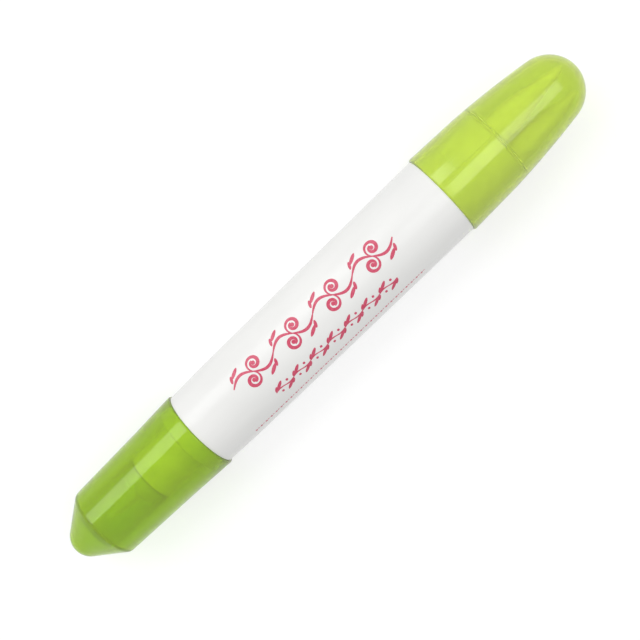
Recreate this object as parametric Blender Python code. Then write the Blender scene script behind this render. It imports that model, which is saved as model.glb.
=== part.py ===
"""Double-capped nail polish corrector pen, lying on its side along X.

The felt nib and its cone-ended cap are at -X, the round-nosed cap with the three spare tips is at +X.
Most pieces are an outline of (distance along X, radius) spun round the pen's axis. Units are metres, +Z
is up, the axis is level, and the rim of the wider cap touches Z = 0.
"""

import math

import bmesh
import bpy
from mathutils import Vector

# Fits
SEAT_GAP = 0.0003  # between two pieces that are pressed or seated together
SLIDE_GAP = 0.00025  # radial, between a cap and the collar that it is pushed over
OVERRUN = 0.001  # how far a cutter runs past the face that it cuts

# Barrel: a moulded tube, as wide at its rear as the cap over the three spare tips asks for
BARREL_LENGTH = 0.05735
BARREL_NARROWING = 0.00042  # how much smaller its radius is at the front end than at the rear
BARREL_SWELL = 0.00023  # how much of that it gains soon behind its front end
BARREL_SWELL_LENGTH = 0.012
BARREL_FRONT_WALL = 0.00126
BARREL_EDGE_RADIUS = 0.0003

# Felt tip: the working nib and the three spares are the same piece
TIP_LENGTH = 0.026
TIP_RADIUS = 0.0024
TIP_TAPER_LENGTH = 0.011
TIP_POINT_RADIUS = 0.0006
TIP_HEEL_RADIUS = 0.0005  # rounding of the flat end

# Spigots that both end pieces push into the barrel, each with a cup for an end of the reservoir
SPIGOT_LENGTH = 0.008
SPIGOT_WALL = 0.00065
CUP_DEPTH = 0.0078

# Reservoir: a rod of fibre wadding in a plastic film
FILM_THICKNESS = 0.00025
NIB_BITE = 0.00265  # depth to which the nib enters the wadding

# Nib holder, in front of the barrel
NIB_FLANGE_LENGTH = 0.0033
NIB_SNOUT_LENGTH = 0.0089
NIB_SNOUT_STEP = 0.0011  # how far the snout stands out round the nozzle
NIB_NOZZLE_LENGTH = 0.003
NIB_NOZZLE_WALL = 0.0008
HOLDER_EDGE_RADIUS = 0.0004

# Caps
CAP_WALL = 0.0009
CAP_LIP_RADIUS = 0.0003
NIB_CAP_STEP = 0.00037  # how far the cap stands out round the barrel
NIB_CAP_FLARE = 0.00038  # how much the mouth widens
NIB_CAP_FLARE_LENGTH = 0.0085
NIB_CAP_DRAFT = 0.00045  # how much the side narrows from the flare to the shoulder
NIB_CAP_SHOULDER_ROUNDING = 0.0012
NIB_CAP_CONE_ANGLE = math.radians(35.3)
NIB_CAP_TIP_RADIUS = 0.0038
SEAL_WALL = 0.0009
SEAL_FLOOR = 0.001
SEAL_EDGE_RADIUS = 0.0002
NIB_TIP_ROOM = 0.0015  # from the nib's point to the floor of the seal

# Spare-tip holder, behind the barrel, and its cap
SPARE_COLLAR_LENGTH = 0.0124
SOCKET_PARTING = 0.0005  # wall between two neighbouring sockets
SOCKET_SIDE_WALL = 0.00066  # wall between a socket and the outside of the collar
SOCKET_WEB = 0.00278  # solid plastic between the sockets and the reservoir cup
SPARE_CAP_DRAFT = 0.00031  # how much the cap narrows from its mouth to the end of the collar
SPARE_CAP_STEP = 0.00033  # how far the cap stands out round the barrel
SPARE_CAP_NOSE_STEP = 0.00146  # how much smaller the nose is than the cap at the end of the collar
SPARE_CAP_NOSE_ANGLE = math.radians(8.6)  # slope of the side where the round nose starts
PAD_HEIGHT = 0.0001
PAD_LENGTH = 0.0082
PAD_ARC = math.radians(43)

# Turning round the axis: angle 0 is +Y, and 90 degrees is +Z, the top
FIRST_TIP_ANGLE = math.radians(65)
FIRST_PAD_ANGLE = math.radians(58)
TIP_COUNT = 3
PAD_COUNT = 3

# Faces round a turned piece, and along a rounded corner
BARREL_SIDES = 40
INNER_SIDES = 32
TIP_SIDES = 20
CORNER_STEPS = 3
NOSE_STEPS = 8
CURVE_STEPS = 6
PAD_STEPS = 5
MERGE = 0.000001
SHARP_ANGLE = math.radians(35)

# Radii of what fits inside what: the three spare tips side by side set the width of the whole pen
TIP_BORE_RADIUS = TIP_RADIUS + SEAT_GAP
SPARE_TIP_PITCH_RADIUS = (TIP_BORE_RADIUS + SOCKET_PARTING / 2) / math.sin(math.pi / TIP_COUNT)
COLLAR_END_RADIUS = SPARE_TIP_PITCH_RADIUS + TIP_BORE_RADIUS + SOCKET_SIDE_WALL
SPARE_CAP_COLLAR_RADIUS = COLLAR_END_RADIUS + SLIDE_GAP + CAP_WALL
SPARE_CAP_MOUTH_RADIUS = SPARE_CAP_COLLAR_RADIUS + SPARE_CAP_DRAFT
SPARE_CAP_NOSE_RADIUS = SPARE_CAP_COLLAR_RADIUS - SPARE_CAP_NOSE_STEP
BARREL_REAR_RADIUS = SPARE_CAP_MOUTH_RADIUS - SPARE_CAP_STEP
BARREL_FRONT_RADIUS = BARREL_REAR_RADIUS - BARREL_NARROWING

NIB_NOZZLE_RADIUS = TIP_BORE_RADIUS + NIB_NOZZLE_WALL
NIB_SNOUT_RADIUS = NIB_NOZZLE_RADIUS + NIB_SNOUT_STEP
BARREL_BORE_RADIUS = BARREL_FRONT_RADIUS - BARREL_FRONT_WALL
SPIGOT_RADIUS = BARREL_BORE_RADIUS - SEAT_GAP
CUP_RADIUS = SPIGOT_RADIUS - SPIGOT_WALL
FILM_RADIUS = CUP_RADIUS - SEAT_GAP
FILM_BORE_RADIUS = FILM_RADIUS - FILM_THICKNESS
WADDING_RADIUS = FILM_BORE_RADIUS - SEAT_GAP

NIB_CAP_MOUTH_RADIUS = BARREL_FRONT_RADIUS + NIB_CAP_STEP
NIB_CAP_WAIST_RADIUS = NIB_CAP_MOUTH_RADIUS - NIB_CAP_FLARE
NIB_CAP_SHOULDER_RADIUS = NIB_CAP_WAIST_RADIUS - NIB_CAP_DRAFT

# Lengthwise places, measured from the front end of the barrel, at zero, towards +X
FLANGE_BACK = -SEAT_GAP
SNOUT_BACK = FLANGE_BACK - NIB_FLANGE_LENGTH
NOZZLE_BACK = SNOUT_BACK - NIB_SNOUT_LENGTH
NOZZLE_FRONT = NOZZLE_BACK - NIB_NOZZLE_LENGTH
FRONT_CUP_FLOOR = SPIGOT_LENGTH - CUP_DEPTH
RESERVOIR_FRONT = FRONT_CUP_FLOOR + SEAT_GAP
NIB_BACK = RESERVOIR_FRONT + NIB_BITE
NIB_FRONT = NIB_BACK - TIP_LENGTH

SEAL_BORE_RADIUS = NIB_NOZZLE_RADIUS + SEAT_GAP
SEAL_RADIUS = SEAL_BORE_RADIUS + SEAL_WALL
SEAL_MOUTH = NOZZLE_BACK - SEAT_GAP
SEAL_FLOOR_INSIDE = NIB_FRONT - NIB_TIP_ROOM
SEAL_END = SEAL_FLOOR_INSIDE - SEAL_FLOOR

INNER_CONE_APEX = SEAL_END - (SEAL_RADIUS + SEAT_GAP) / math.tan(NIB_CAP_CONE_ANGLE)
OUTER_CONE_APEX = INNER_CONE_APEX - CAP_WALL / math.sin(NIB_CAP_CONE_ANGLE)
NIB_CAP_END = OUTER_CONE_APEX + NIB_CAP_TIP_RADIUS / math.sin(NIB_CAP_CONE_ANGLE) - NIB_CAP_TIP_RADIUS
NIB_CAP_MOUTH = -SEAT_GAP

COLLAR_FRONT = BARREL_LENGTH + SEAT_GAP
COLLAR_BACK = COLLAR_FRONT + SPARE_COLLAR_LENGTH
REAR_CUP_FLOOR = BARREL_LENGTH - SPIGOT_LENGTH + CUP_DEPTH
RESERVOIR_BACK = REAR_CUP_FLOOR - SEAT_GAP
SOCKET_FLOOR = REAR_CUP_FLOOR + SOCKET_WEB
SPARE_TIP_BACK = SOCKET_FLOOR + SEAT_GAP
SPARE_TIP_FRONT = SPARE_TIP_BACK + TIP_LENGTH
SPARE_CAP_MOUTH = COLLAR_FRONT

NOSE_INSIDE_RADIUS = SPARE_CAP_NOSE_RADIUS - CAP_WALL
POINT_REACH = NOSE_INSIDE_RADIUS - SEAT_GAP - TIP_POINT_RADIUS
NOSE_CENTRE = SPARE_TIP_FRONT - TIP_POINT_RADIUS - math.sqrt(POINT_REACH**2 - SPARE_TIP_PITCH_RADIUS**2)
SPARE_CAP_END = NOSE_CENTRE + SPARE_CAP_NOSE_RADIUS

# The origin is under the middle of the whole length, on the surface that the pen lies on
MIDDLE = (NIB_CAP_END + SPARE_CAP_END) / 2
AXIS_HEIGHT = max(SPARE_CAP_MOUTH_RADIUS, NIB_CAP_MOUTH_RADIUS)


def clear_scene():
    for obj in list(bpy.data.objects):
        bpy.data.objects.remove(obj, do_unlink=True)


def finish(name, colour, roughness, metallic=0.0, alpha=1.0):
    """A Principled material of one colour."""
    material = bpy.data.materials.new(name)
    material.use_nodes = True
    shader = material.node_tree.nodes["Principled BSDF"]
    shader.inputs["Base Color"].default_value = (*colour, 1)
    shader.inputs["Roughness"].default_value = roughness
    shader.inputs["Metallic"].default_value = metallic
    shader.inputs["Alpha"].default_value = alpha
    material.diffuse_color = (*colour, alpha)
    return material


def make_axis():
    """The pen's axis, an empty at the front end of the barrel that carries every piece."""
    axis = bpy.data.objects.new("pen_axis", None)
    bpy.context.scene.collection.objects.link(axis)
    axis.empty_display_size = BARREL_BORE_RADIUS
    axis.location = (-MIDDLE, 0, AXIS_HEIGHT)
    return axis


def make_slide(name, x, axis, across=(0, 0)):
    """The empty that a piece slides with, at this distance behind the barrel's front end."""
    slide = bpy.data.objects.new(name, None)
    bpy.context.scene.collection.objects.link(slide)
    slide.empty_display_size = BARREL_BORE_RADIUS
    slide.location = (x, *across)
    slide.parent = axis
    return slide


def round_corner(before, corner, after, radius):
    """The arc that rounds a corner between two straight edges."""
    back, ahead = (before - corner).normalized(), (after - corner).normalized()
    half = back.angle(ahead) / 2
    centre = corner + (back + ahead).normalized() * (radius / math.sin(half))
    start = corner + back * (radius / math.tan(half)) - centre
    end = corner + ahead * (radius / math.tan(half)) - centre
    sweep = math.pi - 2 * half
    rounded = []
    for step in range(CORNER_STEPS + 1):
        turn = sweep * step / CORNER_STEPS
        start_weight = math.sin(sweep - turn) / math.sin(sweep)
        end_weight = math.sin(turn) / math.sin(sweep)
        rounded.append(centre + start * start_weight + end * end_weight)
    return rounded


def outline(*corners):
    """Points (x, radius) through these corners. A corner with a third value is rounded to that radius."""
    flat = [Vector(corner[:2]) for corner in corners]
    points = []
    for index, corner in enumerate(corners):
        if len(corner) == 3 and corner[2] > 0:
            after = flat[(index + 1) % len(flat)]
            points += round_corner(flat[index - 1], flat[index], after, corner[2])
        else:
            points.append(flat[index])
    return points


def arc(centre, radius, first, last, steps):
    """Points on a circle about a place on the axis, with angles counted from +X."""
    angles = [first + (last - first) * step / steps for step in range(steps + 1)]
    return [(centre + radius * math.cos(a), radius * math.sin(a)) for a in angles]


def turned(name, points, sides, parent, material, is_closed=True):
    """Spins an outline round its parent's axis into one closed solid."""
    mesh = bmesh.new()
    verts = [mesh.verts.new((x, max(radius, 0), 0)) for x, radius in points]
    pairs = list(zip(verts, verts[1:]))
    if is_closed:
        pairs.append((verts[-1], verts[0]))
    edges = [mesh.edges.new(pair) for pair in pairs]
    bmesh.ops.spin(
        mesh, geom=verts + edges, cent=(0, 0, 0), axis=(1, 0, 0), angle=2 * math.pi, steps=sides
    )
    bmesh.ops.remove_doubles(mesh, verts=mesh.verts, dist=MERGE)
    return solid(name, mesh, parent, material)


def solid(name, mesh, parent, material):
    """Turns a bmesh into a smooth shaded object with its faces pointing out."""
    bmesh.ops.recalc_face_normals(mesh, faces=mesh.faces)
    data = bpy.data.meshes.new(name)
    mesh.to_mesh(data)
    mesh.free()
    data.shade_smooth()
    data.set_sharp_from_angle(angle=SHARP_ANGLE)
    data.materials.append(material)
    obj = bpy.data.objects.new(name, data)
    bpy.context.scene.collection.objects.link(obj)
    obj.parent = parent
    if parent.parent:
        obj.location.x = -parent.location.x
    return obj


def combine(target, tool, operation):
    """Adds a Boolean with a helper that is left out of renders."""
    tool.hide_render = True
    tool.display_type = "WIRE"
    modifier = target.modifiers.new(tool.name, "BOOLEAN")
    modifier.operation = operation
    modifier.solver = "EXACT"
    modifier.object = tool


def side_radius(x, near, near_radius, far, far_radius):
    """Radius at x on a straight taper between two places."""
    return near_radius + (far_radius - near_radius) * (x - near) / (far - near)


def barrel_curve():
    """The outside of the barrel, which swells from its front end and then widens slowly."""
    points = []
    for step in range(CURVE_STEPS + 1):
        share = step / CURVE_STEPS
        radius = BARREL_FRONT_RADIUS + BARREL_SWELL * share * (2 - share)
        points.append((BARREL_SWELL_LENGTH * share, radius))
    return points


def make_barrel(parent, material):
    front, *curve = barrel_curve()
    points = outline(
        (0, BARREL_BORE_RADIUS),
        (*front, BARREL_EDGE_RADIUS),
        *curve,
        (BARREL_LENGTH, BARREL_REAR_RADIUS, BARREL_EDGE_RADIUS),
        (BARREL_LENGTH, BARREL_BORE_RADIUS),
    )
    return turned("barrel", points, BARREL_SIDES, parent, material)


def make_nib_holder(parent, material):
    """Spigot and reservoir cup inside the barrel, then flange, snout and nozzle in front of it."""
    flange_radius = nib_cap_radius(SNOUT_BACK) - CAP_WALL - SLIDE_GAP
    points = outline(
        (NOZZLE_FRONT, TIP_BORE_RADIUS),
        (NOZZLE_FRONT, NIB_NOZZLE_RADIUS, HOLDER_EDGE_RADIUS),
        (NOZZLE_BACK, NIB_NOZZLE_RADIUS),
        (NOZZLE_BACK, NIB_SNOUT_RADIUS, HOLDER_EDGE_RADIUS),
        (SNOUT_BACK, NIB_SNOUT_RADIUS),
        (SNOUT_BACK, flange_radius, HOLDER_EDGE_RADIUS),
        (FLANGE_BACK, flange_radius),
        (FLANGE_BACK, SPIGOT_RADIUS),
        (SPIGOT_LENGTH, SPIGOT_RADIUS),
        (SPIGOT_LENGTH, CUP_RADIUS),
        (FRONT_CUP_FLOOR, CUP_RADIUS),
        (FRONT_CUP_FLOOR, TIP_BORE_RADIUS),
    )
    return turned("nib_holder", points, BARREL_SIDES, parent, material)


def tip_outline(heel, toe):
    """A felt tip from its flat heel to its rounded point, whichever way it points."""
    way = 1 if toe > heel else -1
    taper = toe - way * TIP_TAPER_LENGTH
    centre = toe - way * TIP_POINT_RADIUS
    slope = math.asin((TIP_RADIUS - TIP_POINT_RADIUS) / TIP_TAPER_LENGTH)
    points = [(heel, 0), *outline((heel, 0), (heel, TIP_RADIUS, TIP_HEEL_RADIUS), (taper, TIP_RADIUS))[1:]]
    for step in range(CORNER_STEPS + 2):
        angle = slope + (math.pi / 2 - slope) * step / (CORNER_STEPS + 1)
        points.append((centre + way * TIP_POINT_RADIUS * math.sin(angle), TIP_POINT_RADIUS * math.cos(angle)))
    return points


def make_working_nib(parent, material):
    return turned("working_nib", tip_outline(NIB_BACK, NIB_FRONT), TIP_SIDES, parent, material, False)


def make_reservoir(parent, wadding_material, film_material):
    """The fibre rod, with a blind hole for the nib, and the film round it."""
    hole_floor = NIB_BACK + SEAT_GAP
    points = [
        (hole_floor, 0),
        (hole_floor, TIP_BORE_RADIUS),
        (RESERVOIR_FRONT, TIP_BORE_RADIUS),
        (RESERVOIR_FRONT, WADDING_RADIUS),
        (RESERVOIR_BACK, WADDING_RADIUS),
        (RESERVOIR_BACK, 0),
    ]
    turned("reservoir_wadding", points, INNER_SIDES, parent, wadding_material, False)
    points = [
        (RESERVOIR_FRONT, FILM_BORE_RADIUS),
        (RESERVOIR_FRONT, FILM_RADIUS),
        (RESERVOIR_BACK, FILM_RADIUS),
        (RESERVOIR_BACK, FILM_BORE_RADIUS),
    ]
    turned("reservoir_film", points, INNER_SIDES, parent, film_material)


def nib_cap_radius(x):
    """Outside radius of the nib cap's side, from its shoulder to its flared mouth."""
    flare_start = NIB_CAP_MOUTH - NIB_CAP_FLARE_LENGTH
    if x < flare_start:
        shoulder = OUTER_CONE_APEX + NIB_CAP_SHOULDER_RADIUS / math.tan(NIB_CAP_CONE_ANGLE)
        return side_radius(x, shoulder, NIB_CAP_SHOULDER_RADIUS, flare_start, NIB_CAP_WAIST_RADIUS)
    share = (x - flare_start) / NIB_CAP_FLARE_LENGTH
    return NIB_CAP_WAIST_RADIUS + NIB_CAP_FLARE * share


def make_nib_cap(parent, material):
    """The cone-ended cap, and the sealing sleeve pressed into its cone."""
    angle = NIB_CAP_CONE_ANGLE
    flare_start = NIB_CAP_MOUTH - NIB_CAP_FLARE_LENGTH
    shoulder = OUTER_CONE_APEX + NIB_CAP_SHOULDER_RADIUS / math.tan(angle)
    inner_shoulder_radius = NIB_CAP_SHOULDER_RADIUS - CAP_WALL
    inner_shoulder = INNER_CONE_APEX + inner_shoulder_radius / math.tan(angle)
    inner_tip = NIB_CAP_TIP_RADIUS - CAP_WALL
    tip_centre = NIB_CAP_END + NIB_CAP_TIP_RADIUS
    outer_tip = arc(tip_centre, NIB_CAP_TIP_RADIUS, math.pi, math.pi / 2 + angle, CURVE_STEPS)
    inner_arc = arc(tip_centre, inner_tip, math.pi / 2 + angle, math.pi, CURVE_STEPS)
    sides = outline(
        outer_tip[-1],
        (shoulder, NIB_CAP_SHOULDER_RADIUS, NIB_CAP_SHOULDER_ROUNDING),
        (flare_start, NIB_CAP_WAIST_RADIUS),
        (NIB_CAP_MOUTH, NIB_CAP_MOUTH_RADIUS, CAP_LIP_RADIUS),
        (NIB_CAP_MOUTH, NIB_CAP_MOUTH_RADIUS - CAP_WALL),
        (flare_start, NIB_CAP_WAIST_RADIUS - CAP_WALL),
        (inner_shoulder, inner_shoulder_radius, NIB_CAP_SHOULDER_ROUNDING - CAP_WALL),
        inner_arc[0],
    )
    points = outer_tip[:-1] + sides + inner_arc[1:]
    turned("nib_cap", points, BARREL_SIDES, parent, material, False)
    seal = outline(
        (SEAL_FLOOR_INSIDE, 0),
        (SEAL_FLOOR_INSIDE, SEAL_BORE_RADIUS),
        (SEAL_MOUTH, SEAL_BORE_RADIUS),
        (SEAL_MOUTH, SEAL_RADIUS, SEAL_EDGE_RADIUS),
        (SEAL_END, SEAL_RADIUS, SEAL_EDGE_RADIUS),
        (SEAL_END, 0),
    )
    turned("nib_cap_inner_seal", seal, INNER_SIDES, parent, material, False)


def tip_place(index):
    """(y, z) of a spare tip's own axis, counted from the pen's axis."""
    angle = FIRST_TIP_ANGLE + 2 * math.pi * index / TIP_COUNT
    return SPARE_TIP_PITCH_RADIUS * math.cos(angle), SPARE_TIP_PITCH_RADIUS * math.sin(angle)


def collar_radius(x):
    """Outside of the spare-tip holder's collar, which follows the bore of its cap."""
    return side_radius(x, COLLAR_FRONT, COLLAR_END_RADIUS + SPARE_CAP_DRAFT, COLLAR_BACK, COLLAR_END_RADIUS)


def make_pad(index, parent, material):
    """One low pad on the collar, which grips the inside of the cap."""
    middle = FIRST_PAD_ANGLE + 2 * math.pi * index / PAD_COUNT
    start = COLLAR_BACK - PAD_LENGTH
    stop = COLLAR_BACK - HOLDER_EDGE_RADIUS
    root = collar_radius(stop) - SOCKET_SIDE_WALL / 2
    section = (
        (start, root),
        (stop, root),
        (stop, collar_radius(stop) + PAD_HEIGHT),
        (start, collar_radius(start) + PAD_HEIGHT),
    )
    mesh = bmesh.new()
    rings = []
    for step in range(PAD_STEPS + 1):
        angle = middle + PAD_ARC * (step / PAD_STEPS - 1 / 2)
        across, up = math.cos(angle), math.sin(angle)
        rings.append([mesh.verts.new((x, radius * across, radius * up)) for x, radius in section])
    for ring, following in zip(rings, rings[1:]):
        for side in range(len(section)):
            mesh.faces.new((ring[side], ring[side - 1], following[side - 1], following[side]))
    mesh.faces.new(rings[0])
    mesh.faces.new(list(reversed(rings[-1])))
    return solid(f"grip_pad_{index + 1}", mesh, parent, material)


def make_spare_tip_holder(parent, material):
    """Plug with a reservoir cup inside the barrel, and a collar with three sockets behind it."""
    plug_end = BARREL_LENGTH - SPIGOT_LENGTH
    points = outline(
        (REAR_CUP_FLOOR, 0),
        (REAR_CUP_FLOOR, CUP_RADIUS),
        (plug_end, CUP_RADIUS),
        (plug_end, SPIGOT_RADIUS),
        (COLLAR_FRONT, SPIGOT_RADIUS),
        (COLLAR_FRONT, collar_radius(COLLAR_FRONT)),
        (COLLAR_BACK, collar_radius(COLLAR_BACK), HOLDER_EDGE_RADIUS),
        (COLLAR_BACK, 0),
    )
    holder = turned("spare_tip_holder", points, BARREL_SIDES, parent, material, False)
    for index in range(PAD_COUNT):
        combine(holder, make_pad(index, parent, material), "UNION")
    for index in range(TIP_COUNT):
        bore = [
            (SOCKET_FLOOR, 0),
            (SOCKET_FLOOR, TIP_BORE_RADIUS),
            (COLLAR_BACK + OVERRUN, TIP_BORE_RADIUS),
            (COLLAR_BACK + OVERRUN, 0),
        ]
        cutter = turned(f"socket_cutter_{index + 1}", bore, TIP_SIDES, parent, material, False)
        cutter.location = (0, *tip_place(index))
        combine(holder, cutter, "DIFFERENCE")


def make_spare_tips(axis, material):
    points = tip_outline(SPARE_TIP_BACK, SPARE_TIP_FRONT)
    for index in range(TIP_COUNT):
        slide = make_slide(f"spare_tip_{index + 1}_slide", SPARE_TIP_BACK, axis, tip_place(index))
        turned(f"spare_tip_{index + 1}", points, TIP_SIDES, slide, material, False)


def bullet_side(wall):
    """The side of the round-nosed cap from the collar's end to the nose, as a curve that steepens."""
    nose = SPARE_CAP_NOSE_RADIUS
    end_x = NOSE_CENTRE + nose * math.sin(SPARE_CAP_NOSE_ANGLE)
    end_radius = nose * math.cos(SPARE_CAP_NOSE_ANGLE)
    run = end_x - COLLAR_BACK
    drop = SPARE_CAP_COLLAR_RADIUS - end_radius
    end_slope = math.tan(SPARE_CAP_NOSE_ANGLE)
    bend = (end_slope * run - drop) / run**2
    start_slope = end_slope - 2 * bend * run
    points = []
    for step in range(CURVE_STEPS):
        along = run * step / CURVE_STEPS
        radius = SPARE_CAP_COLLAR_RADIUS - start_slope * along - bend * along**2
        points.append((COLLAR_BACK + along, radius - wall))
    return points


def make_spare_tip_cap(parent, material):
    """The round-nosed cap over the three spare tips."""
    nose_start = math.pi / 2 - SPARE_CAP_NOSE_ANGLE
    outer_nose = arc(NOSE_CENTRE, SPARE_CAP_NOSE_RADIUS, nose_start, 0, NOSE_STEPS)
    inner_nose = arc(NOSE_CENTRE, NOSE_INSIDE_RADIUS, 0, nose_start, NOSE_STEPS)
    mouth = outline(
        (COLLAR_BACK, SPARE_CAP_COLLAR_RADIUS - CAP_WALL),
        (SPARE_CAP_MOUTH, SPARE_CAP_MOUTH_RADIUS - CAP_WALL),
        (SPARE_CAP_MOUTH, SPARE_CAP_MOUTH_RADIUS, CAP_LIP_RADIUS),
        (COLLAR_BACK, SPARE_CAP_COLLAR_RADIUS),
    )
    points = inner_nose + list(reversed(bullet_side(CAP_WALL)[1:])) + mouth + bullet_side(0)[1:] + outer_nose
    turned("spare_tip_cap", points, BARREL_SIDES, parent, material, False)


def make_pen():
    clear_scene()
    white = finish("white_barrel_plastic", (0.87, 0.87, 0.86), 0.25)
    natural = finish("natural_holder_plastic", (0.82, 0.84, 0.78), 0.35)
    felt = finish("white_felt", (0.86, 0.86, 0.8), 0.9)
    wadding = finish("fibre_wadding", (0.8, 0.8, 0.78), 0.95)
    film = finish("clear_film", (0.85, 0.87, 0.88), 0.2, alpha=0.5)
    green = finish("deep_lime_plastic", (0.29, 0.5, 0.03), 0.15, alpha=0.85)
    lime = finish("yellow_lime_plastic", (0.52, 0.67, 0.1), 0.15, alpha=0.85)
    axis = make_axis()
    make_barrel(axis, white)
    make_nib_holder(axis, natural)
    make_working_nib(axis, felt)
    make_reservoir(axis, wadding, film)
    make_spare_tip_holder(axis, natural)
    make_nib_cap(make_slide("nib_cap_slide", NIB_CAP_MOUTH, axis), green)
    make_spare_tips(axis, felt)
    make_spare_tip_cap(make_slide("spare_tip_cap_slide", SPARE_CAP_MOUTH, axis), lime)


make_pen()
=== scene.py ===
"""Nail polish corrector pen: the looks of a white barrel, its ornament and two tinted caps.

Every piece is placed by the packed part, in metres, with the pen's axis along X. Stations along the pen come
from the boxes of the packed pieces, and the smaller sizes are the settings below.
"""

import math

import bmesh
import bpy
from bpy.props import FloatProperty, FloatVectorProperty, IntProperty, PointerProperty
from mathutils import Matrix, Vector


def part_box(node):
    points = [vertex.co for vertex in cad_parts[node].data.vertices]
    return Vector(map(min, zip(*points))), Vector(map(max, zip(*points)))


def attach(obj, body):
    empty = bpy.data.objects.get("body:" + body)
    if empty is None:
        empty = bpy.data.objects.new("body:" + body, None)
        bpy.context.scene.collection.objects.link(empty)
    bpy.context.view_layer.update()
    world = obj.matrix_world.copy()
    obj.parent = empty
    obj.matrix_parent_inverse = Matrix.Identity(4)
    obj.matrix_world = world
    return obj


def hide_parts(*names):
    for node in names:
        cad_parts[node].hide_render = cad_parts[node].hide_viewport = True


bl_info = {
    "name": "Nail polish corrector pen",
    "version": (1, 0, 0),
    "blender": (4, 5, 0),
    "location": "3D View > Sidebar > Corrector pen",
    "description": "Builds the looks of a double-capped corrector pen round its packed parts",
    "category": "Object",
}

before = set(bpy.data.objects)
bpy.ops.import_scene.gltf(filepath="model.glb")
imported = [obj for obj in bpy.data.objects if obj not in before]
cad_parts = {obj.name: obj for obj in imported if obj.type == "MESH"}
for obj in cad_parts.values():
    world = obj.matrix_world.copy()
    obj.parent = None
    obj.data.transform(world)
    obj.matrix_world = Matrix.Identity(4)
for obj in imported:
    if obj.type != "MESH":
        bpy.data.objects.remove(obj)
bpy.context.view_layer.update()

MM = 0.001
SIDES = 128  # faces round a turned piece
TIP_SIDES = 64  # faces round a tip or its socket
CORNER_STEPS = 6  # along a rounded corner
POINT_STEPS = 12  # along the rounding of a tip's point
CURVE_STEPS = 24  # along a long curve
MERGE = 0.0005 * MM  # what lies closer than this is closed
SHARP_ANGLE = math.radians(32)  # a sharper edge stays an edge
SPARE_TIPS = ("spare_tip_1", "spare_tip_2", "spare_tip_3")


def low(node):
    """Where the packed piece starts along the pen."""
    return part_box(node)[0].x


def high(node):
    """Where the packed piece ends along the pen."""
    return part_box(node)[1].x


def widest(node):
    """The packed piece's largest radius."""
    corner_a, corner_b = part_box(node)
    return (corner_b.y - corner_a.y) / 2


def middle(node):
    """(y, z) of the packed piece's own axis."""
    corner_a, corner_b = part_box(node)
    return (corner_a.y + corner_b.y) / 2, (corner_a.z + corner_b.z) / 2


AXIS = middle("barrel")


def srgb(code):
    """Linear red, green, blue and alpha of an sRGB hex colour."""
    parts = [int(code[i : i + 2], 16) / 255 for i in (1, 3, 5)]
    return (*[p / 12.92 if p <= 0.04045 else ((p + 0.055) / 1.055) ** 2.4 for p in parts], 1.0)


def length(description, default_mm):
    """A length that a user sets in the scene's unit."""
    return FloatProperty(description=description, default=default_mm * MM, unit="LENGTH", precision=5)


def turn(description, degrees):
    """An angle that a user sets in degrees."""
    return FloatProperty(description=description, default=math.radians(degrees), unit="ROTATION")


def colour(description, code):
    """A colour that a user picks, from its sRGB hex value."""
    return FloatVectorProperty(
        description=description, default=srgb(code), size=4, subtype="COLOR", min=0, max=1
    )


def amount(description, default):
    """A plain number, never below zero."""
    return FloatProperty(description=description, default=default, min=0)


def count(description, default):
    """How many there are, at least one."""
    return IntProperty(description=description, default=default, min=1)


class BarrelSettings(bpy.types.PropertyGroup):
    """The white tube."""

    narrowing: length("How much smaller the radius is at the front than at the rear", 0.42)
    swell: length("How much of that the barrel gains soon behind its front end", 0.23)
    swell_length: length("Over what length it gains that", 12.0)
    wall: length("Wall at the front end", 1.26)
    edge: length("Rounding of both ends", 0.08)
    reach: length("How much of the gap at each end it fills, because it is pushed home", 0.27)
    white: colour("Colour of the plastic", "#F2F2F0")
    shade: colour("Its slightly greyer flow marks", "#ECECEA")


class PrintSettings(bpy.types.PropertyGroup):
    """The printed ornament: three bands along the barrel."""

    ink: colour("Crimson of the ornament", "#C8385A")
    ink_thin: colour("Where the pad left less ink", "#D45874")
    thickness: length("How far the ink stands proud", 0.016)
    scroll_start: length("Where the large scroll starts", -19.0)
    scroll_length: length("How long it is", 36.6)
    scroll_height: length("How high it is", 5.4)
    scroll_count: count("Bays of the large scroll", 8)
    scroll_angle: turn("Angle from the top towards +Y", 5.5)
    garland_start: length("Where the small garland starts", -14.4)
    garland_length: length("How long it is", 28.0)
    garland_height: length("How high it is", 3.0)
    garland_count: count("Leaves of the garland", 14)
    garland_angle: turn("Angle from the top towards +Y", -36.5)
    rule_start: length("Where the fine rule starts", -22.0)
    rule_length: length("How long it is", 40.0)
    rule_height: length("How high it is", 0.9)
    rule_count: count("Lozenges of the rule", 34)
    rule_angle: turn("Angle from the top towards +Y", -63.0)


class HolderSettings(bpy.types.PropertyGroup):
    """The two natural white end pieces."""

    flange_length: length("Ring behind the nib cap's mouth", 3.3)
    nozzle_length: length("Tube round the nib", 3.0)
    nozzle_wall: length("Its wall", 0.8)
    snout_step: length("How far the snout stands out round the nozzle", 1.1)
    spigot_length: length("What is pushed into the barrel", 8.0)
    spigot_wall: length("Its wall", 0.65)
    cup_depth: length("Depth of the reservoir's cup", 7.8)
    edge: length("Rounding of the outer edges", 0.4)
    fit: length("Gap between pressed pieces", 0.3)
    nib_fit: length("Gap round the nib, which the nozzle holds tight", 0.08)
    collar_draft: length("How much the collar narrows", 0.31)
    countersink: length("Lead-in round each socket", 0.35)
    pad_length: length("Length of a grip pad", 7.8)
    pad_height: length("How far a pad stands proud", 0.1)
    pad_arc: turn("How far a pad reaches round", 43)
    pad_place: turn("Angle from the top towards +Y", 32)
    pad_count: count("How many pads there are", 3)
    white: colour("Colour of the plastic", "#DFE1D2")
    shade: colour("Its denser places", "#D5D9C4")


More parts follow.
